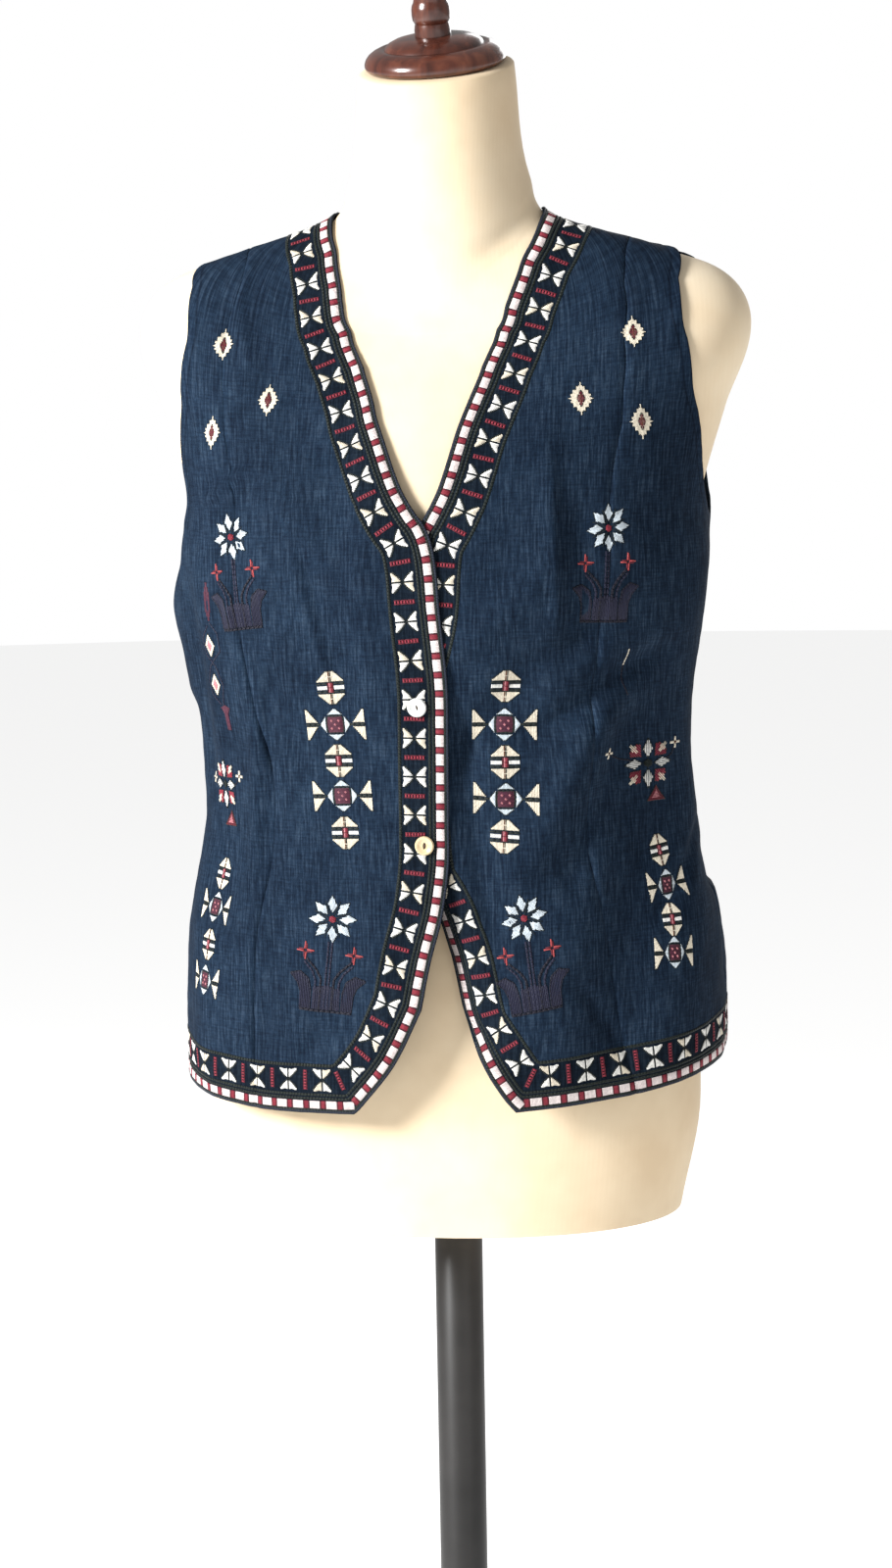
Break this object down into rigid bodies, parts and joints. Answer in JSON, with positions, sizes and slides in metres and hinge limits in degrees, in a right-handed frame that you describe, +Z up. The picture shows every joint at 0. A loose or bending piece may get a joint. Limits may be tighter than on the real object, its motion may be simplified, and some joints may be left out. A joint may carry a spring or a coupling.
{
  "type": "embroidered vest on dress form",
  "caption": "Sleeveless denim vest with embroidered borders and motifs, buttoned at the front over a limbless dress form on a round-based stand.",
  "frame": {"origin": "on the floor, under the middle of the stand's round base", "axes": "+Z up along the pole, -Y out of the wearer's chest, +X to the wearer's left"},
  "size_m": [0.42, 0.42, 1.5922],
  "materials": {
    "denim": "mid-blue slubbed cotton denim, soft wash",
    "button_shell": "polished mother-of-pearl",
    "form_jersey": "ivory cotton jersey cover over a firm form",
    "mahogany": "dark stained wood with clear varnish",
    "stand_steel": "satin black enamel on steel tube"
  },
  "bodies": {
    "root": {"right_front_centre": "denim", "right_front_side": "denim", "left_front_centre": "denim", "left_front_side": "denim", "back_panel": "denim", "button_upper": "button_shell", "button_lower": "button_shell", "form_torso": "form_jersey", "neck_cap": "mahogany", "finial": "mahogany", "stand_base": "mahogany", "stand_pole": "stand_steel"}
  },
  "joints": []
}
